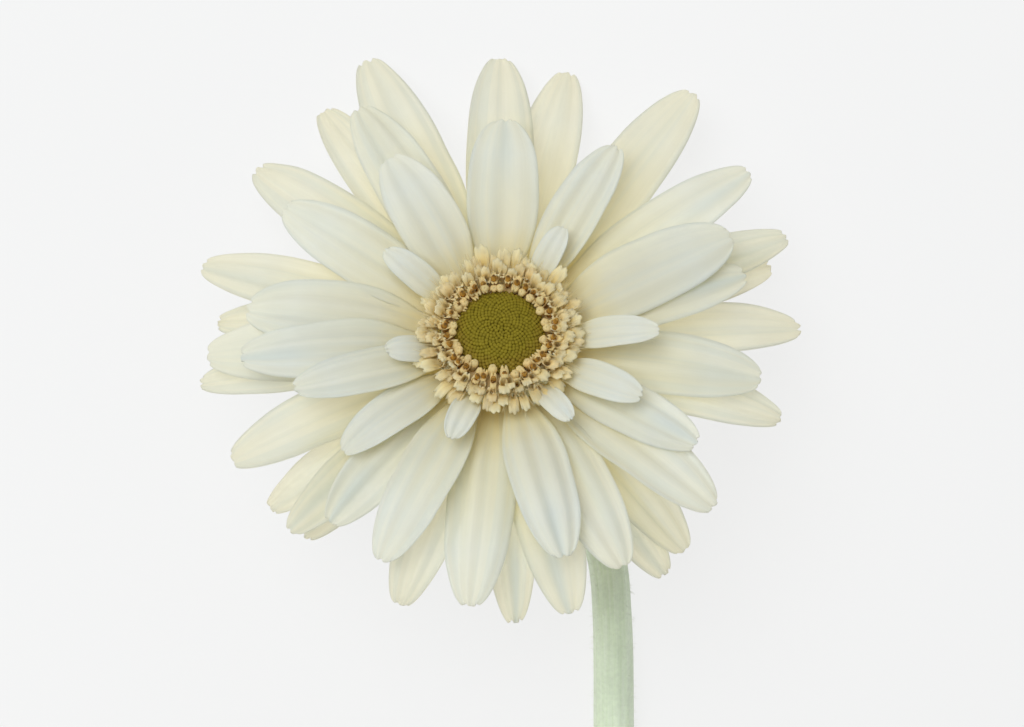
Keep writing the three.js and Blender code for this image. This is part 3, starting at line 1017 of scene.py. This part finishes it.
def core_mesh():
    rings = [(radius * MM, height * MM) for radius, height in CORE_PROFILE[1:-1]]
    points = turned_points(rings, CORE_SIDES)
    last = (len(rings) - 1) * CORE_SIDES
    points += [(0, 0, CORE_PROFILE[0][1] * MM), (0, 0, CORE_PROFILE[-1][1] * MM)]
    bottom, top = len(points) - 2, len(points) - 1
    faces = band_faces(len(rings), CORE_SIDES)
    for i in range(CORE_SIDES):
        after = (i + 1) % CORE_SIDES
        faces += [(bottom, after, i), (top, last + i, last + after)]
    mesh = new_mesh("receptacle_body", points, faces)
    low, high = CORE_PROFILE[0][1], CORE_PROFILE[-1][1]
    set_values(mesh, "rise", [(point[2] / MM - low) / (high - low) for point in points])
    mesh.shade_smooth()
    return mesh


def core_material():
    material, tree = new_material("receptacle_tissue")
    place = own_place(tree)
    pits = add(tree, "ShaderNodeTexVoronoi", Vector=place, Scale=900)
    mottle = noise(tree, place, 260, 3)
    # The top, between the florets, is coloured warm brown: painted shade in the gaps between them
    skin = colour_ramp(tree, read_value(tree, "rise"), [
        (0, (0.3, 0.42, 0.16, 1)), (0.45, (0.5, 0.58, 0.28, 1)), (0.6, (0.78, 0.78, 0.5, 1)),
        (0.88, (0.84, 0.78, 0.5, 1)), (0.93, (0.72, 0.52, 0.22, 1)),
    ])
    shade = ranged(tree, mottle, 0.3, 0.7, 0.88, 1.08)
    colour = scaled(tree, skin, shade)
    pitted = scaled(tree, colour, ranged(tree, pits, 0, 0.5, 0.75, 1.03))
    bump = bumps(tree, 0.6, 0.1 * MM, pits)
    finish_material(tree, surface(tree, pitted, 0.6, 0.35, bump))
    return material


core_piece = new_object("receptacle_body", core_mesh())
core_piece.data.materials.append(core_material())
core_piece.data.transform(head_frame)
hand_in(core_piece, "stem", "receptacle")


# ---- Stem -----------------------------------------------------------------------------------------------
# The scape: one round, leafless, faintly ribbed stalk of pale green, soft and full of sap. Fine down covers
# it, thickest below the head. It was cut from the plant with one slanting stroke.

NECK_RADIUS = 3.3 * MM
CUT_RADIUS = 4.6 * MM
STEM_LENGTH = 300 * MM
NECK_STRAIGHT = 4
HEAD_HEIGHT = 27.2
CUT_SLANT = radians(40)
SLANT_REACH = 16 * MM
STEM_RIBS = 11
BEND_POINTS = [(3.4, -12, 7.6), (8.6, -18.5, 4.8)]
LYING_POINTS = [
    (14.2, -26), (18.2, -36), (19.4, -48), (19.6, -66), (19.6, -100), (18.5, -150), (15.5, -220),
    (10, -299.9),
]
STALK_SIDES = 66
RIB_HEIGHT = 0.07 * MM
PITH_DEPTH = 0.35 * MM


def stem_radius(y):
    return NECK_RADIUS + (CUT_RADIUS - NECK_RADIUS) * min(max(-y / STEM_LENGTH, 0), 1)


def smooth_route(points, per_span):
    """Points along a centripetal Catmull-Rom curve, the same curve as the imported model's stem."""
    ends = [points[0] * 2 - points[1]] + points + [points[-1] * 2 - points[-2]]
    route = []
    for a, b, c, d in zip(ends, ends[1:], ends[2:], ends[3:]):
        t1 = (b - a).length ** 0.5
        t2 = t1 + (c - b).length ** 0.5
        t3 = t2 + (d - c).length ** 0.5
        for i in range(per_span):
            t = t1 + (t2 - t1) * i / per_span
            ab = a * ((t1 - t) / t1) + b * (t / t1)
            bc = b * ((t2 - t) / (t2 - t1)) + c * ((t - t1) / (t2 - t1))
            cd = c * ((t3 - t) / (t3 - t2)) + d * ((t - t2) / (t3 - t2))
            abc = ab * ((t2 - t) / t2) + bc * (t / t2)
            bcd = bc * ((t3 - t) / (t3 - t1)) + cd * ((t - t1) / (t3 - t1))
            route.append(abc * ((t2 - t) / (t2 - t1)) + bcd * ((t - t1) / (t2 - t1)))
    return route + [points[-1]]


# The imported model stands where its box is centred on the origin, so the route is shifted as the head is
shift = head_centre - Vector((0, 0, HEAD_HEIGHT * MM))
joint = head_centre + face * (RECEPTACLE_BASE - 0.3 * MM)
neck = joint - face * NECK_STRAIGHT * MM
bend = [Vector(point) * MM + shift for point in BEND_POINTS]
lying = [Vector((x * MM, y * MM, stem_radius(y * MM))) + shift for x, y in LYING_POINTS]
route = smooth_route([joint, neck, *bend, *lying], 8)


def build_stem_tree(material):
    tree, given = new_tree("ribbed_stalk", {
        "Sides": "Int", "Ribs": "Float", "Rib height": "Float", "Slant": "Float", "Slant reach": "Float",
        "Whole length": "Float", "Rim": "Float",
    })
    line = add(tree, "GeometryNodeMeshToCurve", Mesh=given["Geometry"])
    run = store(tree, line, "run", add(tree, "GeometryNodeSplineParameter").outputs["Length"])
    middle = store(tree, run, "middle", add(tree, "GeometryNodeInputPosition"), "FLOAT_VECTOR")
    guide = store(tree, middle, "ahead", add(tree, "GeometryNodeInputTangent"), "FLOAT_VECTOR")
    circle = add(
        tree, "GeometryNodeCurvePrimitiveCircle", {"mode": "RADIUS"}, Resolution=given["Sides"], Radius=1.0,
    )
    rim = store(tree, circle, "turn", add(tree, "GeometryNodeSplineParameter").outputs["Factor"])
    tube = add(
        tree, "GeometryNodeCurveToMesh", Curve=guide, Profile_Curve=rim, Fill_Caps=True,
        Scale=attribute(tree, "girth"),
    )

    # Faint ribs and slow swellings
    turn = times(tree, attribute(tree, "turn"), times(tree, given["Ribs"], tau))
    rib = times(tree, maths(tree, "COSINE", turn), given["Rib height"])
    place = add(tree, "GeometryNodeInputPosition")
    swell = noise(tree, place, 60.0, 2.0)
    uneven = times(tree, minus(tree, swell, 0.5), 0.3 * MM)
    ahead = attribute(tree, "ahead", "FLOAT_VECTOR")
    spoke = vector_maths(tree, "SUBTRACT", place, attribute(tree, "middle", "FLOAT_VECTOR"))
    outward = scaled(tree, vector_maths(tree, "NORMALIZE", spoke), plus(tree, rib, uneven))
    ribbed = moved(tree, tube, outward)

    # The last stretch is sheared, so that the end is one slanting plane
    past = minus(tree, attribute(tree, "run"), minus(tree, given["Whole length"], given["Slant reach"]))
    clamped = {"operation": "DIVIDE", "use_clamp": True}
    share = add(tree, "ShaderNodeMath", clamped, (past, given["Slant reach"]))
    drop = add(tree, "ShaderNodeSeparateXYZ", Vector=spoke).outputs["Z"]
    back = times(tree, times(tree, drop, share), times(tree, given["Slant"], -1))
    cut = moved(tree, ribbed, scaled(tree, ahead, back))

    # The cut end: a firm skin stands a little proud of the softer pith
    normal = add(tree, "GeometryNodeInputNormal").outputs["True Normal"]
    facing = vector_maths(tree, "DOT_PRODUCT", normal, ahead).outputs["Value"]
    marked = store(tree, cut, "cut", maths(tree, "GREATER_THAN", facing, 0.45), domain="FACE")
    face_grow = {"mode": "FACES"}
    end = add(
        tree, "GeometryNodeExtrudeMesh", face_grow, Mesh=marked, Selection=attribute(tree, "cut"),
        Offset_Scale=0.0,
    )
    shrunk = add(
        tree, "GeometryNodeScaleElements", {"domain": "FACE"}, Geometry=end.outputs["Mesh"],
        Selection=end.outputs["Top"], Scale=0.84,
    )
    sunk = add(
        tree, "GeometryNodeExtrudeMesh", face_grow, Mesh=shrunk, Selection=end.outputs["Top"],
        Offset_Scale=times(tree, given["Rim"], -1),
    )
    dished = add(
        tree, "GeometryNodeScaleElements", {"domain": "FACE"}, Geometry=sunk.outputs["Mesh"],
        Selection=sunk.outputs["Top"], Scale=0.95,
    )
    round_side = minus(tree, 1, attribute(tree, "cut"))
    end_tree(tree, dished, material, smooth=round_side)
    return tree


def stem_material(cut_centre, ahead):
    material, tree = new_material("green_stalk")
    place = own_place(tree)
    run = read_value(tree, "run")
    turn = read_value(tree, "turn")
    fibres = add(
        tree, "ShaderNodeCombineXYZ", X=maths(tree, "SINE", times(tree, turn, tau)),
        Y=maths(tree, "COSINE", times(tree, turn, tau)), Z=times(tree, run, 9),
    )
    streaks = noise(tree, fibres, 7, 4, Roughness=0.6)
    mottle = noise(tree, place, 120, 3)
    freckles = noise(tree, place, 1500, 2)
    green = colour_ramp(tree, streaks, [(0.3, (0.75, 0.86, 0.61, 1)), (0.7, (0.86, 0.94, 0.75, 1))])
    older = ranged(tree, run, 0.03, 0.28, 0, 0.5)
    aged = mixed_colour(tree, older, green, (0.52, 0.62, 0.37, 1))
    patches = ranged(tree, mottle, 0.3, 0.7, 0.92, 1.06)
    specks = ranged(tree, freckles, 0.35, 0.65, 0.96, 1.03)
    skin = scaled(tree, aged, times(tree, patches, specks))

    # Pith, with a ring of vascular bundles, seen in the cut face
    spoke = vector_maths(tree, "CROSS_PRODUCT", vector_maths(tree, "SUBTRACT", place, cut_centre), ahead)
    radial = maths(tree, "DIVIDE", vector_maths(tree, "LENGTH", spoke).outputs["Value"], CUT_RADIUS)
    cells = add(tree, "ShaderNodeTexVoronoi", Vector=place, Scale=1500)
    pith = colour_ramp(tree, radial, [
        (0.1, (0.7, 0.74, 0.56, 1)), (0.62, (0.62, 0.69, 0.44, 1)), (0.76, (0.4, 0.52, 0.22, 1)),
        (0.9, (0.3, 0.43, 0.15, 1)),
    ])
    celled = scaled(tree, pith, ranged(tree, cells, 0, 0.6, 0.93, 1.03))
    colour = mixed_colour(tree, read_value(tree, "cut"), skin, celled)
    relief = plus(tree, times(tree, streaks, 1.2), times(tree, freckles, 0.4))
    bump = bumps(tree, 0.45, 0.12 * MM, relief)
    finish_material(tree, surface(tree, colour, 0.5, 0.35, bump, Sheen_Weight=0.35, Sheen_Roughness=0.35))
    return material


length_of_stem = sum((b - a).length for a, b in zip(route, route[1:]))
guide_line = new_mesh("stem_line", route, edges=[(i, i + 1) for i in range(len(route) - 1)])
set_values(guide_line, "girth", [stem_radius(point.y - shift.y) - 0.12 * MM for point in route])
stalk_end = (route[-1] - route[-2]).normalized()
stalk = grown(
    new_object("stalk", guide_line), build_stem_tree(stem_material(route[-1], stalk_end)),
    sides=STALK_SIDES, ribs=float(STEM_RIBS), rib_height=RIB_HEIGHT, slant=tan(CUT_SLANT),
    slant_reach=SLANT_REACH, whole_length=length_of_stem, rim=PITH_DEPTH,
)
hand_in(stalk, "stem", "stem")


# ---- Down on the stem -----------------------------------------------------------------------------------
# Short soft hairs stand out all over the stalk and thickest below the head. They are colourless, and catch
# the light as a pale bloom along its sides.

HAIR_RADIUS = 0.022 * MM
HAIR_LENGTH = 0.75 * MM
HAIRS_PER_AREA = 330000.0


def hair_mesh():
    points = []
    for share, width in ((0, 1), (0.5, 0.8), (1, 0.15)):
        bow = 0.35 * HAIR_LENGTH * share * share
        ring = turned_points([(HAIR_RADIUS * width, HAIR_LENGTH * share)], 3)
        points += [(x + bow, y, z) for x, y, z in ring]
    return new_mesh("hair", points, band_faces(3, 3) + [(2, 1, 0), (6, 7, 8)])


def build_down_tree(material):
    tree, given = new_tree("down_on_stalk", {
        "Stalk": "Object", "Per area": "Float", "Lean": "Float", "Size spread": "Float", "Seed": "Int",
    })
    seed = given["Seed"]
    skin = add(tree, "GeometryNodeObjectInfo", Object=given["Stalk"]).outputs["Geometry"]
    normal = add(tree, "GeometryNodeInputNormal")
    facing = add(tree, "ShaderNodeSeparateXYZ", Vector=normal).outputs["Z"]
    clear = maths(tree, "GREATER_THAN", facing, -0.45)
    side = times(tree, clear, minus(tree, 1, attribute(tree, "cut")))
    near_head = maths(tree, "EXPONENT", times(tree, attribute(tree, "run"), -22))
    density = times(tree, given["Per area"], times_plus(tree, near_head, 2.5, 1))
    seeds = add(
        tree, "GeometryNodeDistributePointsOnFaces", Mesh=skin, Selection=side, Density=density, Seed=seed,
    )
    toned = store(tree, seeds.outputs["Points"], "tone", spread(tree, 1.0, seed, 1))
    tip = add(
        tree, "ShaderNodeCombineXYZ", X=spread(tree, given["Lean"], seed, 2),
        Y=spread(tree, given["Lean"], seed, 3), Z=spread(tree, pi, seed, 4),
    )
    lean = add(tree, "FunctionNodeEulerToRotation", Euler=tip)
    turned = add(
        tree, "FunctionNodeRotateRotation", {"rotation_space": "LOCAL"}, Rotation=seeds.outputs["Rotation"],
        Rotate_By=lean,
    )
    size = plus(tree, spread(tree, given["Size spread"], seed, 5), 1)
    hairs = add(
        tree, "GeometryNodeInstanceOnPoints", Points=toned, Instance=given["Geometry"], Rotation=turned,
        Scale=size,
    )
    end_tree(tree, hairs, material)
    return tree


def down_material():
    material, tree = new_material("clear_down")
    tone = ranged(tree, read_value(tree, "tone"), -1, 1, 0, 1)
    colour = mixed_colour(tree, tone, (0.78, 0.83, 0.66, 1), (0.9, 0.9, 0.84, 1))
    finish_material(tree, surface(tree, colour, 0.4))
    return material


down = grown(
    new_object("stalk_down", hair_mesh()), build_down_tree(down_material()), stalk=stalk,
    per_area=HAIRS_PER_AREA, lean=0.5, size_spread=0.35, seed=77,
)
hand_in(down, "stem", "stem")
